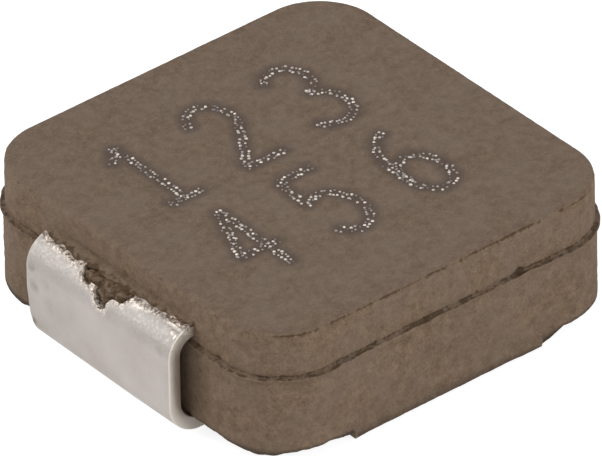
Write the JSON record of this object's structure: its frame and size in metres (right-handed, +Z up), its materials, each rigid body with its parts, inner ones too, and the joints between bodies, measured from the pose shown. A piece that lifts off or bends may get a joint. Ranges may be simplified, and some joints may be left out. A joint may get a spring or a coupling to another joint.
{
  "type": "shielded surface-mount inductor",
  "caption": "Shielded surface-mount power inductor: flat wire coil pressed into a square powder block, with folded strip terminals that end in solder feet under the base.",
  "frame": {"origin": "on the board plane under the feet, midway between them and on the block's middle line", "axes": "+X from one terminal to the other, +Y across the block, +Z up away from the board"},
  "size_m": [0.0072, 0.0064, 0.0022],
  "materials": {
    "powder_composite": "matt pressed iron powder and resin, brown grey, finely mottled",
    "tinned_copper": "satin tin plating, brighter on the bends",
    "enamelled_copper": "clear enamel over copper",
    "solder": "dull cast solder"
  },
  "bodies": {
    "root": {"moulded_body": "powder_composite", "terminal_left": "tinned_copper", "terminal_right": "tinned_copper", "coil": "enamelled_copper", "solder_left": "solder", "solder_right": "solder"}
  },
  "joints": []
}
